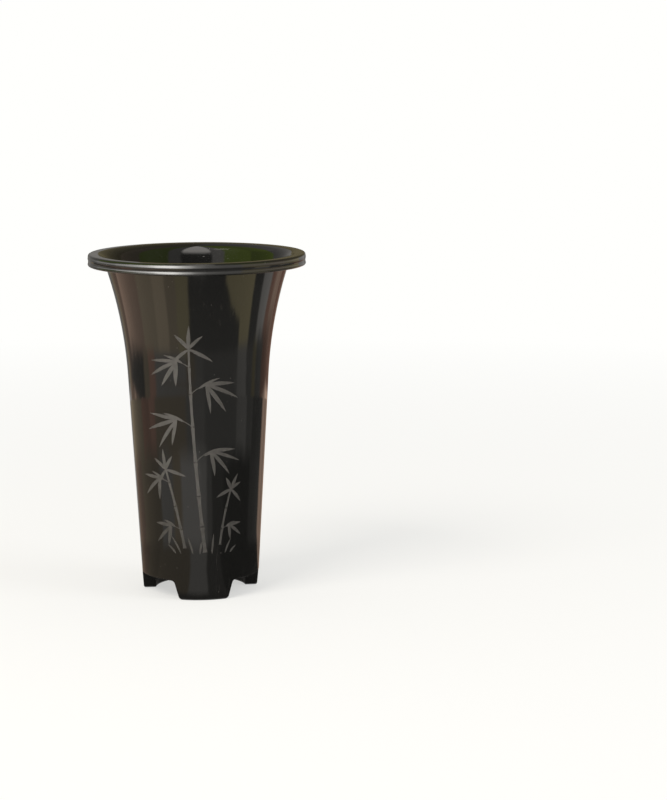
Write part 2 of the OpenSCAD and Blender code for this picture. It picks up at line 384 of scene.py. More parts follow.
def band_stops(bands):
    """Stops (heading, colour) of bands that are each level and meet in short soft edges."""
    stops = []
    for k, (start, level, tone) in enumerate(bands):
        end = bands[k + 1][0] if k + 1 < len(bands) else 180
        colour = tuple(level * c for c in srgb(tone)[:3]) + (1.0,)
        stops += [(start + BAND_EDGE, colour), (end - BAND_EDGE, colour)]
    return stops


def value_stops(values):
    """Stops (heading, colour) of plain numbers over the heading."""
    return [(heading, grey(value)) for heading, value in values]


def over_heading(tree, heading, stops):
    """A colour ramp over the heading, which runs from -180 to 180 degrees."""
    share = add_node(tree, "ShaderNodeMapRange", {"From Min": -180.0, "From Max": 180.0}, {"Value": heading})
    node = add_node(tree, "ShaderNodeValToRGB", links={0: share.outputs[0]})
    ramp = node.color_ramp
    ramp.elements.remove(ramp.elements[-1])
    ramp.elements[0].position = (stops[0][0] + 180) / 360
    ramp.elements[0].color = stops[0][1]
    for angle, colour in stops[1:]:
        ramp.elements.new((angle + 180) / 360).color = colour
    return node.outputs[0]


def screen_place(tree):
    """Heading in degrees, reach and height of a point of the screen, with the waver of the bands' edges."""
    place = add_node(tree, "ShaderNodeTexCoord")
    axes = add_node(tree, "ShaderNodeSeparateXYZ", links={0: place.outputs["Object"]})
    back = add_node(tree, "ShaderNodeMath", {"operation": "MULTIPLY", 1: -1.0}, {0: axes.outputs["Y"]})
    angle = add_node(tree, "ShaderNodeMath", {"operation": "ARCTAN2"},
                     {0: axes.outputs["X"], 1: back.outputs[0]})
    level = add_node(tree, "ShaderNodeCombineXYZ", links={0: axes.outputs["X"], 1: axes.outputs["Y"]})
    away = add_node(tree, "ShaderNodeVectorMath", {"operation": "LENGTH"}, {0: level.outputs[0]})
    waver = add_node(tree, "ShaderNodeTexNoise", {"Scale": 1 / WAVER_SIZE, "Detail": 3.0},
                     {"Vector": place.outputs["Object"]})
    shift = add_node(tree, "ShaderNodeSeparateXYZ", links={0: waver.outputs["Color"]})
    turn = add_node(tree, "ShaderNodeMath",
                    {"operation": "MULTIPLY_ADD", 1: 180 / math.pi, 2: -WAVER_TURN / 2},
                    {0: angle.outputs[0]})
    heading = add_node(tree, "ShaderNodeMath", {"operation": "MULTIPLY_ADD", 1: WAVER_TURN},
                       {0: shift.outputs["X"], 2: turn.outputs[0]})
    out = add_node(tree, "ShaderNodeMath", {"operation": "ADD"},
                   {0: away.outputs["Value"], 1: axes.outputs["Z"]})
    centred = add_node(tree, "ShaderNodeMath", {"operation": "SUBTRACT", 1: WAVER_REACH / 2},
                       {0: out.outputs[0]})
    reach = add_node(tree, "ShaderNodeMath", {"operation": "MULTIPLY_ADD", 1: WAVER_REACH},
                     {0: shift.outputs["Y"], 2: centred.outputs[0]})
    return heading.outputs[0], reach.outputs[0], axes.outputs["Z"]


def row_measure(tree, heading, reach):
    """The reach, with its part beyond the collar cut down at the sides so that it goes by pot height."""
    shares = over_heading(tree, heading, value_stops(ROW_SHARES))
    inside = add_node(tree, "ShaderNodeMath", {"operation": "MINIMUM", 1: ROW_START}, {0: reach})
    beyond = add_node(tree, "ShaderNodeMath", {"operation": "SUBTRACT"}, {0: reach, 1: inside.outputs[0]})
    return add_node(tree, "ShaderNodeMath", {"operation": "MULTIPLY_ADD"},
                    {0: beyond.outputs[0], 1: shares, 2: inside.outputs[0]}).outputs[0]


def slanted(tree, heading, row):
    """The heading, drawn back near the right patch as the row grows, so that the patch narrows outwards."""
    grown = add_node(tree, "ShaderNodeMapRange",
                     {"From Min": PATCH_ROWS[0], "From Max": PATCH_ROWS[1], "To Max": PATCH_SLANT},
                     {"Value": row})
    rising = add_node(tree, "ShaderNodeMapRange", {"From Min": SLANT_IN[0], "From Max": SLANT_IN[1]},
                      {"Value": heading})
    falling = add_node(tree, "ShaderNodeMapRange",
                       {"From Min": SLANT_OUT[0], "From Max": SLANT_OUT[1], "To Min": 1.0, "To Max": 0.0},
                       {"Value": heading})
    window = add_node(tree, "ShaderNodeMath", {"operation": "MULTIPLY"},
                      {0: rising.outputs[0], 1: falling.outputs[0]})
    drawn = add_node(tree, "ShaderNodeMath", {"operation": "MULTIPLY"},
                     {0: window.outputs[0], 1: grown.outputs[0]})
    return add_node(tree, "ShaderNodeMath", {"operation": "SUBTRACT"},
                    {0: heading, 1: drawn.outputs[0]}).outputs[0]


def mirrored_tones(tree, heading, measures):
    """Colour of the screen: the bands of each zone, laid over those of the zones before it."""
    tones = over_heading(tree, heading, band_stops(UNDER_BANDS))
    for bands, measure, start, full in ZONES:
        turn = slanted(tree, heading, measures["row"]) if bands is UPPER_BANDS else heading
        zone = over_heading(tree, turn, band_stops(bands))
        share = add_node(tree, "ShaderNodeMapRange", {"From Min": start, "From Max": full},
                         {"Value": measures[measure]})
        mix = add_node(tree, "ShaderNodeMix", {"data_type": "RGBA"},
                       {0: share.outputs[0], 6: tones, 7: zone})
        tones = mix.outputs[2]
    return tones


def soft_light(tree, heading, height, over):
    """Strength of the soft light: its share over the heading, between its foot and its top edge."""
    lobe = over_heading(tree, heading, value_stops(SOFT_HEADINGS))
    foot = add_node(tree, "ShaderNodeMapRange", {"From Min": SOFT_FOOT[0], "From Max": SOFT_FOOT[1]},
                    {"Value": height})
    top = add_node(tree, "ShaderNodeMapRange",
                   {"From Min": -SOFT_FADE, "From Max": 0.0, "To Min": 1.0, "To Max": 0.0},
                   {"Value": over})
    tall = add_node(tree, "ShaderNodeMath", {"operation": "MULTIPLY"},
                    {0: foot.outputs[0], 1: top.outputs[0]})
    soft = add_node(tree, "ShaderNodeMath", {"operation": "MULTIPLY"}, {0: lobe, 1: tall.outputs[0]})
    return add_node(tree, "ShaderNodeMath", {"operation": "MULTIPLY", 1: SOFT_LIGHT},
                    {0: soft.outputs[0]}).outputs[0]


def screen_material():
    """Glow of the screen: the bands in their zones, and the soft light in front of them."""
    material, tree = new_material("screen_bands")
    heading, reach, height = screen_place(tree)
    tops = over_heading(tree, heading, value_stops(SOFT_TOPS))
    over = add_node(tree, "ShaderNodeMath", {"operation": "SUBTRACT"}, {0: height, 1: tops}).outputs[0]
    measures = {"reach": reach, "row": row_measure(tree, heading, reach), "over": over}
    bands = add_node(tree, "ShaderNodeEmission", {"Strength": 1.0},
                     {"Color": mirrored_tones(tree, heading, measures)})
    light = add_node(tree, "ShaderNodeEmission", {"Color": srgb(SOFT_TONE)},
                     {"Strength": soft_light(tree, heading, height, over)})
    glow = add_node(tree, "ShaderNodeAddShader", links={0: bands.outputs[0], 1: light.outputs[0]})
    add_node(tree, "ShaderNodeOutputMaterial", links={"Surface": glow.outputs[0]})
    return material


# Materials of the pot

PLASTIC_IOR = 1.49
# Gloss finish, in metres: moulding waves round the wall and along it, rub marks across and along, the patches
# that take them, and the spacing of dust specks with their inner and outer edge as shares of it
WAVE_ROUND = 0.030
WAVE_ALONG = 0.120
WAVE_DEPTH = 0.0006
RUB_ACROSS = 0.0014
RUB_ALONG = 0.060
RUB_PATCH = 0.060
SPECK_SPACING = 0.007
SPECK_EDGE_SHARES = (0.035, 0.055)
# Satin finish, in metres: size and depth of its mottle
MOTTLE_SIZE = 0.004
MOTTLE_DEPTH = 0.0001
# Print, in metres: size of the uneven places in the ink film
FILM_SIZE = 0.003


def gloss_polypropylene():
    """Injection-moulded black polypropylene, high gloss: deep black with clear, slightly wavy reflections."""
    material, tree = new_material("gloss_black_polypropylene")
    place = add_node(tree, "ShaderNodeTexCoord")
    long_way = add_node(tree, "ShaderNodeMapping",
                        {"Scale": (1 / WAVE_ROUND, 1 / WAVE_ROUND, 1 / WAVE_ALONG)},
                        {"Vector": place.outputs["Object"]})
    waves = add_node(tree, "ShaderNodeTexNoise", {"Scale": 1.0, "Detail": 2.0, "Roughness": 0.4},
                     {"Vector": long_way.outputs[0]})
    # Fine rub marks from stacking, upright, in some patches only
    along = add_node(tree, "ShaderNodeMapping", {"Scale": (1 / RUB_ACROSS, 1 / RUB_ACROSS, 1 / RUB_ALONG)},
                     {"Vector": place.outputs["Object"]})
    rub = add_node(tree, "ShaderNodeTexNoise", {"Scale": 1.0, "Detail": 3.0, "Roughness": 0.6},
                   {"Vector": along.outputs[0]})
    marks = add_node(tree, "ShaderNodeMapRange", {"From Min": 0.60, "From Max": 0.78},
                     {"Value": rub.outputs["Fac"]})
    patch = add_node(tree, "ShaderNodeTexNoise", {"Scale": 1 / RUB_PATCH, "Detail": 2.0},
                     {"Vector": place.outputs["Object"]})
    worn = add_node(tree, "ShaderNodeMapRange", {"From Min": 0.45, "From Max": 0.7},
                    {"Value": patch.outputs["Fac"]})
    rubbed = add_node(tree, "ShaderNodeMath", {"operation": "MULTIPLY"},
                      {0: marks.outputs[0], 1: worn.outputs[0]})
    # Dust specks, drawn about 0.6 mm wide so that they show
    specks = add_node(tree, "ShaderNodeTexVoronoi", {"Scale": 1 / SPECK_SPACING},
                      {"Vector": place.outputs["Object"]})
    dust = add_node(tree, "ShaderNodeMapRange",
                    {"From Min": SPECK_EDGE_SHARES[0], "From Max": SPECK_EDGE_SHARES[1],
                     "To Min": 1.0, "To Max": 0.0},
                    {"Value": specks.outputs["Distance"]})
    # The marks and specks are paler and duller than the clean gloss
    light_marks = add_node(tree, "ShaderNodeMath", {"operation": "MULTIPLY_ADD", 1: 0.35},
                           {0: rubbed.outputs[0], 2: dust.outputs[0]})
    colour = add_node(tree, "ShaderNodeMix", {"data_type": "RGBA", 6: srgb("#171716"), 7: srgb("#4a4744")},
                      {0: light_marks.outputs[0]})
    rough = add_node(tree, "ShaderNodeMapRange", {"To Min": 0.07, "To Max": 0.30},
                     {"Value": light_marks.outputs[0]})
    bump = add_node(tree, "ShaderNodeBump", {"Strength": 0.6, "Distance": WAVE_DEPTH},
                    {"Height": waves.outputs["Fac"]})
    shader = add_node(tree, "ShaderNodeBsdfPrincipled", {"IOR": PLASTIC_IOR},
                      {"Base Color": colour.outputs[2], "Roughness": rough.outputs[0],
                       "Normal": bump.outputs[0]})
    add_node(tree, "ShaderNodeOutputMaterial", links={"Surface": shader.outputs[0]})
    return material


def satin_polypropylene():
    """The same plastic from a plainer mould: semi-gloss, so that lights spread softly over a faint mottle."""
    material, tree = new_material("satin_black_polypropylene")
    place = add_node(tree, "ShaderNodeTexCoord")
    mottle = add_node(tree, "ShaderNodeTexNoise", {"Scale": 1 / MOTTLE_SIZE, "Detail": 4.0},
                      {"Vector": place.outputs["Object"]})
    colour = add_node(tree, "ShaderNodeMix", {"data_type": "RGBA", 6: srgb("#1a1a1a"), 7: srgb("#232322")},
                      {0: mottle.outputs["Fac"]})
    rough = add_node(tree, "ShaderNodeMapRange", {"To Min": 0.20, "To Max": 0.34},
                     {"Value": mottle.outputs["Fac"]})
    bump = add_node(tree, "ShaderNodeBump", {"Strength": 0.3, "Distance": MOTTLE_DEPTH},
                    {"Height": mottle.outputs["Fac"]})
    shader = add_node(tree, "ShaderNodeBsdfPrincipled", {"IOR": PLASTIC_IOR},
                      {"Base Color": colour.outputs[2], "Roughness": rough.outputs[0],
                       "Normal": bump.outputs[0]})
    add_node(tree, "ShaderNodeOutputMaterial", links={"Surface": shader.outputs[0]})
    return material


def matt_grey_ink():
    """Pad-printed ink on the plastic: matt warm grey, a little uneven where the black shows through."""
    material, tree = new_material("matt_grey_print")
    place = add_node(tree, "ShaderNodeTexCoord")
    film = add_node(tree, "ShaderNodeTexNoise", {"Scale": 1 / FILM_SIZE, "Detail": 3.0},
                    {"Vector": place.outputs["Object"]})
    thin = add_node(tree, "ShaderNodeMapRange", {"From Min": 0.3, "From Max": 0.7},
                    {"Value": film.outputs["Fac"]})
    colour = add_node(tree, "ShaderNodeMix", {"data_type": "RGBA", 6: srgb("#383633"), 7: srgb("#474441")},
                      {0: thin.outputs[0]})
    shader = add_node(tree, "ShaderNodeBsdfPrincipled", {"IOR": PLASTIC_IOR, "Roughness": 0.62},
                      {"Base Color": colour.outputs[2]})
    add_node(tree, "ShaderNodeOutputMaterial", links={"Surface": shader.outputs[0]})
    return material


# Modelling steps that several pieces share

# Vertices that lie closer than this, in metres, are merged
MERGE = 1e-6


def pick(*pieces):
    """Selects these pieces and nothing else; the first of them is the active one."""
    bpy.ops.object.select_all(action="DESELECT")
    for piece in pieces:
        piece.select_set(True)
    bpy.context.view_layer.objects.active = pieces[0]


def laid_grid(name, columns, rows, point):
    """A grid whose vertices are laid on a surface; point(column, row) gives each place in metres."""
    bpy.ops.object.select_all(action="DESELECT")
    bpy.ops.mesh.primitive_grid_add(x_subdivisions=columns, y_subdivisions=rows, size=1.0)
    piece = bpy.context.active_object
    piece.name = name
    for v in piece.data.vertices:
        v.co = point(round((v.co.x + 0.5) * columns), round((v.co.y + 0.5) * rows))
    return piece


def close_mesh(piece, merge=MERGE, fill=False):
    """Merges the seams, fills open ends if asked, and turns all faces outwards."""
    pick(piece)
    bpy.ops.object.mode_set(mode="EDIT")
    bpy.ops.mesh.select_all(action="SELECT")
    bpy.ops.mesh.remove_doubles(threshold=merge)
    if fill:
        bpy.ops.mesh.fill_holes(sides=0)
        bpy.ops.mesh.select_all(action="SELECT")
    bpy.ops.mesh.normals_make_consistent(inside=False)
    bpy.ops.object.mode_set(mode="OBJECT")


def apply_modifier(piece, kind, **settings):
    pick(piece)
    modifier = piece.modifiers.new(kind.lower(), kind)
    for name, value in settings.items():
        setattr(modifier, name, value)
    bpy.ops.object.modifier_apply(modifier=modifier.name)


def smooth_by_angle(piece, degrees):
    pick(piece)
    bpy.ops.object.shade_smooth_by_angle(angle=math.radians(degrees))


def arc(cx, cz, radius, start, end, steps):
    """Points of an arc after its first one, angles in degrees from the +r direction."""
    turn = [math.radians(start + (end - start) * k / steps) for k in range(1, steps + 1)]
    return [(cx + radius * math.cos(a), cz + radius * math.sin(a)) for a in turn]


def line(start, end, steps):
    """Points of a straight stretch after its first one."""
    return [tuple(a + (b - a) * k / steps for a, b in zip(start, end)) for k in range(1, steps + 1)]


def quarter(steps):
    """Angles of a quarter turn in even steps, with both ends."""
    return [math.radians(90 * k / steps) for k in range(steps + 1)]


# Pot body: one closed skin laid round the pot from a grid, column by column round the ring of feet

SMOOTH_ANGLE = 30
# Columns along half a foot, round each corner, up a foot's side and along half an arch
FOOT_COLUMNS = 12
CORNER_COLUMNS = 7
SIDE_COLUMNS = 4
ARCH_COLUMNS = 14
# Rows along each stretch of the wall's section
TUBE_STEPS = 10
FLARE_STEPS = 24
FILLET_STEPS = 12
FLAT_STEPS = 2
LIP_CORNER_STEPS = 8
LIP_SLACK_STEPS = 6
HOLLOW_EDGE_STEPS = 3
HOLLOW_STEPS = 10
LIP_FOOT_STEPS = 10
LIP_FILLET_STEPS = 5
# Rounding of the ring's outer edge, of the lower and upper edge on its inner side, and of the corner that its
# floor makes with the wall inside the pot
EDGE_ROUND = 1.0
RING_LOW_ROUND = 0.8
RING_TOP_ROUND = 0.3
COVE = 0.6
OUTER_EDGE_STEPS = 4
INNER_EDGE_STEPS = 3
ACROSS_SHARES = (1 / 3, 2 / 3)
# Height of the wall's lowest level ring, outside and inside, and the shares of the way up to it with a row
JOIN_OUT_Z = 18.0
JOIN_IN_Z = 20.0
JOIN_SHARES = (0.25, 0.5, 0.75)
# Drain slots: chamfer of their edges, and the steps round each end
SLOT_LIP = 0.3
SLOT_END_STEPS = 8


def tube_r(z, inset):
    """Radius of the tube's outer surface at height z, moved inwards by inset."""
    return BASE_R + z * math.tan(LEAN) - inset / math.cos(LEAN)


def wall_r(z, inset):
    """Radius of the outer surface of tube, flare and fillet at height z, moved inwards by inset."""
    if z < FLARE_CZ + (FLARE_R + inset) * math.sin(LEAN):
        return tube_r(z, inset)
    if z < FLARE_CZ + (FLARE_R + inset) * math.sin(FLARE_END):
        return FLARE_CR - math.sqrt((FLARE_R + inset) ** 2 - (z - FLARE_CZ) ** 2)
    return FILLET_CR - math.sqrt(max((RIM_FILLET + inset) ** 2 - (z - FILLET_CZ) ** 2, 0.0))


def lip_face():
    """Outer side of the lip, from the flat top down to its lower edge: a tight corner that runs into a slack
    curve, then a face with a shallow hollow."""
    low_z = POT_H - LIP_H + WALL / 2
    tilt = math.radians(LIP_SLACK_TILT)
    high_z = POT_H - LIP_CORNER * (1 - math.sin(tilt)) - LIP_SLACK * math.sin(tilt)
    hollow_z = (low_z + high_z) / 2
    half = HOLLOW_SHARE * (high_z - low_z) / 2
    radius = (half ** 2 + LIP_HOLLOW ** 2) / (2 * LIP_HOLLOW)
    hollow_r = RIM_R - LIP_HOLLOW + radius
    rise = math.sqrt(LIP_HOLLOW * (2 * radius + 2 * HOLLOW_EDGE - LIP_HOLLOW))
    turn = math.degrees(math.asin(rise / (radius + HOLLOW_EDGE)))
    slack_r = RIM_R - LIP_SLACK
    corner_r = slack_r + (LIP_SLACK - LIP_CORNER) * math.cos(tilt)
    corner_z = high_z + (LIP_SLACK - LIP_CORNER) * math.sin(tilt)
    face = [(corner_r, POT_H)]
    face += arc(corner_r, corner_z, LIP_CORNER, 90, LIP_SLACK_TILT, LIP_CORNER_STEPS)
    face += arc(slack_r, high_z, LIP_SLACK, LIP_SLACK_TILT, 0, LIP_SLACK_STEPS)
    face.append((RIM_R, hollow_z + rise))
    face += arc(RIM_R - HOLLOW_EDGE, hollow_z + rise, HOLLOW_EDGE, 0, -turn, HOLLOW_EDGE_STEPS)
    face += arc(hollow_r, hollow_z, radius, 180 - turn, 180 + turn, HOLLOW_STEPS)
    face += arc(RIM_R - HOLLOW_EDGE, hollow_z - rise, HOLLOW_EDGE, turn, 0, HOLLOW_EDGE_STEPS)
    face.append((RIM_R, low_z))
    return face


def wall_section():
    """Section (r, z) from the inner wall above the foot ring, over the rim and down to the outer wall."""
    under_z = POT_H - WALL
    lip_in = RIM_R - WALL
    lip_foot_z = POT_H - LIP_H + WALL / 2
    flare_deg = 180 - math.degrees(FLARE_END)
    neck_deg = 180 - math.degrees(LEAN)
    inner_neck = (
        FLARE_CR - (FLARE_R + WALL) * math.cos(LEAN),
        FLARE_CZ + (FLARE_R + WALL) * math.sin(LEAN),
    )
    section = [(tube_r(JOIN_IN_Z, WALL), JOIN_IN_Z)]
    section += line(section[-1], inner_neck, TUBE_STEPS)
    section += arc(FLARE_CR, FLARE_CZ, FLARE_R + WALL, neck_deg, flare_deg, FLARE_STEPS)
    section += arc(FILLET_CR, FILLET_CZ, RIM_FILLET + WALL, flare_deg, 90, FILLET_STEPS)
    lip = lip_face()
    section += line(section[-1], lip[0], FLAT_STEPS) + lip[1:]
    section += arc(RIM_R - WALL / 2, lip_foot_z, WALL / 2, 0, -180, LIP_FOOT_STEPS)
    section += line(section[-1], (lip_in, under_z - LIP_FILLET), FLAT_STEPS)
    section += arc(lip_in - LIP_FILLET, under_z - LIP_FILLET, LIP_FILLET, 0, 90, LIP_FILLET_STEPS)
    section += line(section[-1], (FILLET_CR, under_z), FLAT_STEPS)
    section += arc(FILLET_CR, FILLET_CZ, RIM_FILLET, 90, flare_deg, FILLET_STEPS)
    section += arc(FLARE_CR, FLARE_CZ, FLARE_R, flare_deg, neck_deg, FLARE_STEPS)
    section += line((NECK_R, NECK_H), (tube_r(JOIN_OUT_Z, 0), JOIN_OUT_Z), TUBE_STEPS)
    return section


def half_period():
    """Columns from the middle of a foot to the middle of an arch: (heading, x, z, mx, mz, inner radius).
    The heading is in radians. x is measured across from it, z is the underside's height, and (mx, mz)
    points into the plastic."""
    side = math.radians(FOOT_ARC / 2)
    arch = math.pi / FEET
    tan, cos = math.tan(STEP_LEAN), math.cos(STEP_LEAN)
    foot_x = (FOOT_ROUND - FOOT_H / 2) * tan - FOOT_ROUND / cos
    arch_x = (FOOT_H / 2 - ARCH_ROUND) * tan + ARCH_ROUND / cos
    arch_z = FOOT_H - ARCH_ROUND
    lean = math.degrees(STEP_LEAN)
    columns = []
    for k in range(FOOT_COLUMNS + 1):
        u = k / FOOT_COLUMNS
        columns.append((u * side, u * foot_x, 0.0, 0.0, 1.0, POCKET_IN_R))
    for x, z in arc(foot_x, FOOT_ROUND, FOOT_ROUND, -90, -lean, CORNER_COLUMNS):
        columns.append((side, x, z, (foot_x - x) / FOOT_ROUND, (FOOT_ROUND - z) / FOOT_ROUND, RING_IN_R))
    low = columns[-1]
    high = (arch_x - ARCH_ROUND * cos, arch_z + ARCH_ROUND * math.sin(STEP_LEAN))
    for x, z in line((low[1], low[2]), high, SIDE_COLUMNS):
        columns.append((side, x, z, low[3], low[4], RING_IN_R))
    for x, z in arc(arch_x, arch_z, ARCH_ROUND, 180 - lean, 90, CORNER_COLUMNS):
        columns.append((side, x, z, (x - arch_x) / ARCH_ROUND, (z - arch_z) / ARCH_ROUND, RING_IN_R))
    for k in range(1, ARCH_COLUMNS + 1):
        v = k / ARCH_COLUMNS
        columns.append((side + v * (arch - side), (1 - v) * arch_x, FOOT_H, 0.0, 1.0, RING_IN_R))
    return columns


def ring_columns():
    """All columns, once round the pot from the middle of the front foot."""
    half = half_period()
    turn = 2 * math.pi / FEET
    period = half + [(turn - h, -x, z, -mx, mz, r) for h, x, z, mx, mz, r in half[-2:0:-1]]
    return [(h + k * turn, *rest) for k in range(FEET) for h, *rest in period]


def ring_section():
    """Section of the foot ring, outer wall to inner: (kind, depth into the plastic, step from that edge)."""
    section = []
    for a in quarter(OUTER_EDGE_STEPS):
        section.append(("outer", EDGE_ROUND * (1 - math.sin(a)), EDGE_ROUND * (1 - math.cos(a))))
    section += [("across", 0.0, share) for share in ACROSS_SHARES]
    for a in quarter(INNER_EDGE_STEPS):
        section.append(("inner", RING_LOW_ROUND * (1 - math.cos(a)), RING_LOW_ROUND * (1 - math.sin(a))))
    for a in quarter(INNER_EDGE_STEPS):
        depth = FLOOR_T - RING_TOP_ROUND * (1 - math.sin(a))
        section.append(("inner", depth, RING_TOP_ROUND * (1 - math.cos(a))))
    section += [("back", FLOOR_T, share) for share in ACROSS_SHARES]
    for a in quarter(INNER_EDGE_STEPS):
        section.append(("cove", FLOOR_T + COVE * (1 - math.cos(a)), COVE * (1 - math.sin(a))))
    return section


def polar(heading, x, r, z):
    """Place, in metres, of a point at radius r and height z, x across from a heading; millimetres in."""
    a = heading + math.asin(max(-1.0, min(1.0, x / r)))
    return Vector((r * math.sin(a), -r * math.cos(a), z)) * MM


def ring_point(column, station):
    """Point (heading, x, r, z) of one column at one station of the ring's section."""
    heading, x, z, mx, mz, inner = column
    kind, depth, step = station
    x += mx * depth
    z += mz * depth
    outer = tube_r(z, 0) - EDGE_ROUND
    back = tube_r(z, WALL) - COVE
    near = inner + (RING_LOW_ROUND if kind == "across" else RING_TOP_ROUND)
    r = {
        "outer": tube_r(z, 0) - step,
        "across": outer + (near - outer) * step,
        "inner": inner + step,
        "back": near + (back - near) * step,
        "cove": tube_r(z, WALL) - step,
    }[kind]
    return heading, x, r, z


def join_point(column, station, join_z, inset, share):
    """Point on the tube between the foot ring's edge and the first level ring of the wall."""
    heading, x, r, z = ring_point(column, station)
    height = z + (join_z - z) * share
    return heading, x + (column[1] - x) * share, tube_r(height, inset), height


def pot_rows():
    """Every row of the skin as a function from a column to (heading, x, r, z)."""
    rows = [lambda c, r=r, z=z: (c[0], c[1], r, z) for r, z in wall_section()]
    ring = ring_section()
    for share in reversed(JOIN_SHARES):
        rows.append(lambda c, s=share: join_point(c, ring[0], JOIN_OUT_Z, 0, s))
    for station in ring:
        rows.append(lambda c, s=station: ring_point(c, s))
    for share in JOIN_SHARES:
        rows.append(lambda c, s=share: join_point(c, ring[-1], JOIN_IN_Z, WALL, s))
    rows.append(rows[0])
    return rows


def slot_cutter(name, heading, low_z, high_z):
    """A curved slot with round ends and lips that chamfer its edges, as a closed body to cut with."""
    half_arc = math.radians(SLOT_ARC / 2)
    outline = []
    for end in (1, -1):
        for k in range(SLOT_END_STEPS + 1):
            outline.append((end, math.radians(-90 + 180 * k / SLOT_END_STEPS)))
    # How far the slot is widened at each level
    levels = [
        (2 * SLOT_LIP, low_z - SLOT_LIP), (0.0, low_z + SLOT_LIP),
        (0.0, high_z - SLOT_LIP), (2 * SLOT_LIP, high_z + SLOT_LIP),
    ]

    def place(column, row):
        end, a = outline[column % len(outline)]
        grow, z = levels[row]
        reach = SLOT_W / 2 + grow
        across = end * reach * math.cos(a)
        radial = SLOT_MID_R + end * reach * math.sin(a)
        turn = heading + end * half_arc
        return Vector((
            radial * math.sin(turn) + across * math.cos(turn),
            -radial * math.cos(turn) + across * math.sin(turn),
            z,
        )) * MM

    cutter = laid_grid(name, len(outline), len(levels) - 1, place)
    close_mesh(cutter, fill=True)
    return cutter


def make_pot_body(material):
    columns = ring_columns()
    rows = pot_rows()
    body = laid_grid("pot_body", len(columns), len(rows) - 1,
                     lambda c, r: polar(*rows[r](columns[c % len(columns)])))
    close_mesh(body)
    # Slots through the floors of the feet and of the arches, in turn
    cutters = []
    for k in range(2 * FEET):
        low = 0.0 if k % 2 == 0 else FOOT_H
        cutters.append(slot_cutter(f"slot_{k}", k * math.pi / FEET, low, low + FLOOR_T))
    pick(*cutters)
    bpy.ops.object.join()
    apply_modifier(body, "BOOLEAN", operation="DIFFERENCE", object=cutters[0], solver="EXACT")
    bpy.data.objects.remove(cutters[0])
    smooth_by_angle(body, SMOOTH_ANGLE)
    set_material(body, material)
    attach(body, "pot")
    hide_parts("pot_shell")


# Drainage dome: its solid, re-skinned in fine voxels for the soft edges of a moulding

# Size of the voxels, in millimetres
DOME_SKIN = 0.4
DOME_MERGE = 2e-6
DOME_SMOOTHING = 4


def make_dome_moulding(material):
    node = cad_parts["drainage_dome"]
    dome = node.copy()
    dome.data = node.data.copy()
    dome.name = "dome_moulding"
    dome.parent = None
    # The copy sheds the node's own marks
    for key in list(dome.keys()):
        del dome[key]
    bpy.context.scene.collection.objects.link(dome)
    close_mesh(dome, merge=DOME_MERGE)
    apply_modifier(dome, "REMESH", mode="VOXEL", voxel_size=DOME_SKIN * MM)
    apply_modifier(dome, "SMOOTH", factor=0.5, iterations=DOME_SMOOTHING)
    bpy.ops.object.shade_smooth()
    set_material(dome, material)
    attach(dome, "dome")
    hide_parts("drainage_dome")


# Printed drawing on the front

# Slim bamboo in matt grey line work, laid on the wall as thin closed strips. Its places are (s, z):
# millimetres round the wall from the middle of the drawing, and up from the feet. Headings are in degrees
# from upright, clockwise.
DRAWING_R = 45.0
DRAWING_TURN = math.radians(-5.0)
# Strips of ink: how deep they reach into the wall, how proud they stand, and the small steps in height that
# keep crossing strips apart
INK_DEPTH = 0.05
INK_LIFT = 0.03
INK_STEP = 0.004
INK_LAYERS = 7
INK_MERGE = 1e-7
# Leaves: rise and taper of the outline as powers, its fullness, and the width of its blunt ends
LEAF_STEPS = 12
LEAF_RISE = 0.6
LEAF_TAPER = 0.85
LEAF_FULL = 2.05
LEAF_TIP = 0.16
# Twigs and the jointed stems: how much they thin, how the segments swell at their joints, and the gap there
TWIG_STEPS = 8
TWIG_W = 0.6
TWIG_THINNING = 0.45
SEGMENT_STEPS = 7
STEM_THINNING = 0.08
JOINT_SWELL = 0.4
JOINT_SHARPNESS = 6
JOINT_GAP = 0.7
# Sprays: lean and bend of the twig, then for its leaves the headings from the first to the last, their
# spread, their length as a share of the spray's reach, their width and their droop
SPRAY_LEAN = (36, 46)
SPRAY_BEND = (28, 40)
SPRAY_FIRST = 84
SPRAY_FAN = 84
SPRAY_SPREAD = (-6, 6)
SPRAY_LEAST_SHARE = 0.78
SPRAY_GROWTH_SHARE = 0.34
SPRAY_UNEVEN = (0.94, 1.06)
SPRAY_LEAF_W = (2.9, 3.7)
SPRAY_DROOP = (4, 14)
# The single leaf half way along a spray's twig
HALF_LEAN = 48
HALF_BEND = 10
HALF_WAY_SHARE = 0.55
HALF_LEAF_LEAN = (50, 66)
HALF_LEAF_SHARE = 0.7
HALF_LEAF_W = 2.6
HALF_LEAF_DROOP = 24
# Leaves at the top of a stem: (heading, share of the crown's reach, droop)
CROWN_LEAVES = [(-32, 0.72, -14), (3, 0.9, 6), (36, 0.7, 18), (118, 0.95, 14), (-124, 0.9, -12)]
CROWN_SPREAD = (-4, 4)
CROWN_LEAF_W = (2.7, 3.3)
# Stems: foot, lean, bend, length of each segment, width; sprays as (joint, side, length, leaves, reach); and
# the reach of the crown
STEMS = [
    {"foot": (5.0, 34.0), "lean": -7.0, "bend": 7.0, "segments": (18, 21, 23, 24, 22, 18, 12), "width": 2.5,
     "sprays": [(2, 1, 13, 4, 21), (3, -1, 12, 4, 22), (4, 1, 12, 4, 22), (5, -1, 9, 4, 19)], "crown": 18},
    {"foot": (-10.0, 37.0), "lean": -10.0, "bend": -6.0, "segments": (13, 16, 16, 9), "width": 2.0,
     "sprays": [(0, -1, 8, 3, 15), (2, -1, 8, 3, 17)], "crown": 16},
    {"foot": (16.0, 39.0), "lean": 6.0, "bend": 11.0, "segments": (11, 14, 13), "width": 1.6,
     "sprays": [(0, 1, 6, 3, 12)], "crown": 13},
]
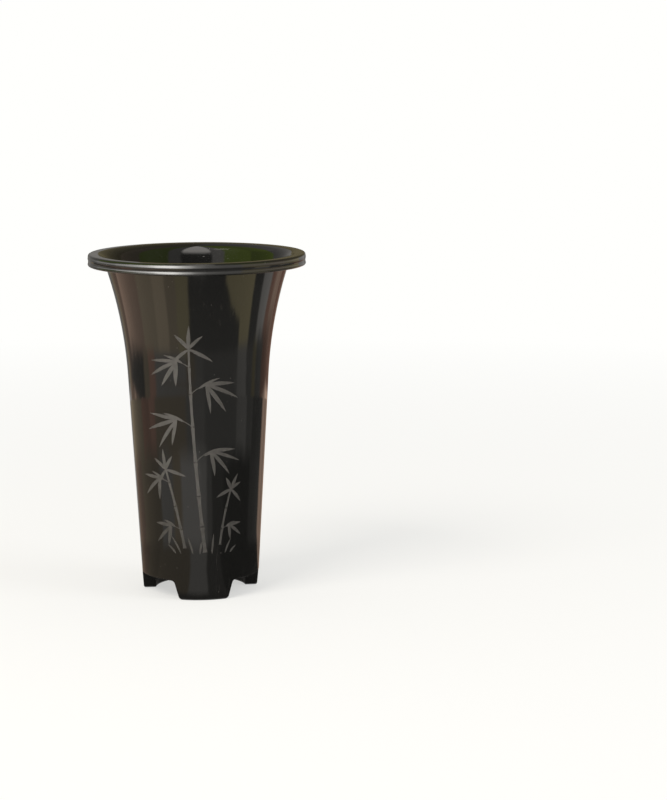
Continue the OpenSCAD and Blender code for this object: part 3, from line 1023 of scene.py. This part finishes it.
# Grass at the foot: (s, height, lean) of each blade
GRASS_BLADES = [
    (-17, 9, -34), (-13, 15, -22), (-4, 12, -12), (1, 9, 8), (10, 14, 4), (20, 11, 18), (24, 7, 34),
]
GRASS_Z = 33.0
GRASS_W = 1.9
GRASS_DROOP_SHARE = 0.8
DICE = random.Random(7)


def on_wall(s, z, proud):
    """Place on the outer wall, in metres, proud millimetres over it."""
    a = DRAWING_TURN + s / DRAWING_R
    r = wall_r(z, -proud)
    return Vector((r * math.sin(a), -r * math.cos(a), z)) * MM


def curved_line(s, z, heading, bend, length, steps):
    """Points (s, z) of a line that turns evenly by bend."""
    points = [(s, z)]
    for k in range(steps):
        a = math.radians(heading + bend * (k + 0.5) / steps)
        s, z = points[-1]
        points.append((s + length / steps * math.sin(a), z + length / steps * math.cos(a)))
    return points


class Drawing:
    """Lays strips of ink; each is a closed body a few hundredths of a millimetre proud of the wall."""

    def __init__(self):
        self.strips = []

    def strip(self, middle, widths):
        """Lays a strip along the (s, z) points of its middle, with its width at each point."""
        lift = INK_LIFT + INK_STEP * (len(self.strips) % INK_LAYERS)
        corners = ((-1, lift), (0, lift), (1, lift), (1, -INK_DEPTH), (-1, -INK_DEPTH))
        ribs = []
        for k, (s, z) in enumerate(middle):
            before = middle[max(k - 1, 0)]
            after = middle[min(k + 1, len(middle) - 1)]
            along = Vector((after[0] - before[0], after[1] - before[1])).normalized()
            across = Vector((along.y, -along.x)) * (widths[k] / 2)
            ribs.append([on_wall(s + side * across.x, z + side * across.y, proud) for side, proud in corners])
        self.strips.append(laid_grid("ink_strip", len(ribs) - 1, len(corners),
                                     lambda c, r: ribs[c][r % len(corners)]))

    def leaf(self, s, z, heading, length, width, droop):
        """A slim pointed leaf from (s, z), widest about two fifths of the way along."""
        shares = [k / LEAF_STEPS for k in range(LEAF_STEPS + 1)]
        outline = [LEAF_FULL * width * u ** LEAF_RISE * (1 - u) ** LEAF_TAPER for u in shares]
        middle = curved_line(s, z, heading, droop, length, LEAF_STEPS)
        self.strip(middle, [max(wide, LEAF_TIP) for wide in outline])

    def twig(self, s, z, heading, length, bend):
        """A fine curved twig. Returns its tip as (s, z)."""
        middle = curved_line(s, z, heading, bend, length, TWIG_STEPS)
        shares = [k / TWIG_STEPS for k in range(TWIG_STEPS + 1)]
        self.strip(middle, [TWIG_W * (1 - TWIG_THINNING * u) for u in shares])
        return middle[-1]

    def stem(self, foot, lean, bend, segments, width):
        """A jointed stem with a small gap after each segment. Returns its joints as (s, z, heading)."""
        joints = []
        heading = lean
        turn = bend / len(segments)
        s, z = foot
        shares = [2 * i / SEGMENT_STEPS - 1 for i in range(SEGMENT_STEPS + 1)]
        swelling = [1 + JOINT_SWELL * abs(u) ** JOINT_SHARPNESS for u in shares]
        for k, length in enumerate(segments):
            wide = width * (1 - STEM_THINNING * k)
            middle = curved_line(s, z, heading, turn, length, SEGMENT_STEPS)
            self.strip(middle, [wide * swell for swell in swelling])
            heading += turn
            joints.append((*middle[-1], heading))
            s, z = curved_line(*middle[-1], heading, 0.0, JOINT_GAP, 1)[-1]
        return joints

    def spray(self, joint, side, length, leaves, reach):
        """A twig from a joint, arching outwards, with hanging leaves at its tip and one on the way."""
        s, z, lean = joint
        leaning = lean + side * DICE.uniform(*SPRAY_LEAN)
        tip = self.twig(s, z, leaning, length, side * DICE.uniform(*SPRAY_BEND))
        for k in range(leaves):
            share = k / max(leaves - 1, 1)
            heading = side * (SPRAY_FIRST + SPRAY_FAN * share + DICE.uniform(*SPRAY_SPREAD))
            # The middle leaves are the longest
            growth = SPRAY_GROWTH_SHARE * math.sin(math.pi * (share * 0.8 + 0.1))
            grown = reach * (SPRAY_LEAST_SHARE + growth) * DICE.uniform(*SPRAY_UNEVEN)
            width = DICE.uniform(*SPRAY_LEAF_W)
            self.leaf(*tip, heading, grown, width, side * DICE.uniform(*SPRAY_DROOP))
        half = curved_line(s, z, lean + side * HALF_LEAN, side * HALF_BEND, HALF_WAY_SHARE * length, 1)[-1]
        heading = side * DICE.uniform(*HALF_LEAF_LEAN)
        self.leaf(*half, heading, HALF_LEAF_SHARE * reach, HALF_LEAF_W, side * HALF_LEAF_DROOP)

    def crown(self, joint, reach):
        """The leaves at the top of a stem: some rise, some hang."""
        s, z, lean = joint
        for heading, share, droop in CROWN_LEAVES:
            turned = lean + heading + DICE.uniform(*CROWN_SPREAD)
            self.leaf(s, z, turned, reach * share, DICE.uniform(*CROWN_LEAF_W), droop)


def make_drawing():
    art = Drawing()
    stems = []
    for plan in STEMS:
        stems.append(art.stem(plan["foot"], plan["lean"], plan["bend"], plan["segments"], plan["width"]))
    for plan, joints in zip(STEMS, stems):
        for joint, side, length, leaves, reach in plan["sprays"]:
            art.spray(joints[joint], side, length, leaves, reach)
        art.crown(joints[-1], plan["crown"])
    for s, height, lean in GRASS_BLADES:
        art.leaf(s, GRASS_Z, lean, height, GRASS_W, lean * GRASS_DROOP_SHARE)
    drawing = art.strips[0]
    pick(*art.strips)
    bpy.ops.object.join()
    drawing.name = "printed_drawing"
    close_mesh(drawing, merge=INK_MERGE, fill=True)
    smooth_by_angle(drawing, SMOOTH_ANGLE)
    set_material(drawing, matt_grey_ink())
    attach(drawing, "pot")


make_camera()
make_floor()
make_world()
make_screen()
for lamp in LAMPS:
    make_lamp(*lamp)

gloss = gloss_polypropylene()
satin = satin_polypropylene()
set_material(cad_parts["pot_shell"], gloss)
set_material(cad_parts["drainage_dome"], satin)
make_pot_body(gloss)
make_dome_moulding(satin)
make_drawing()
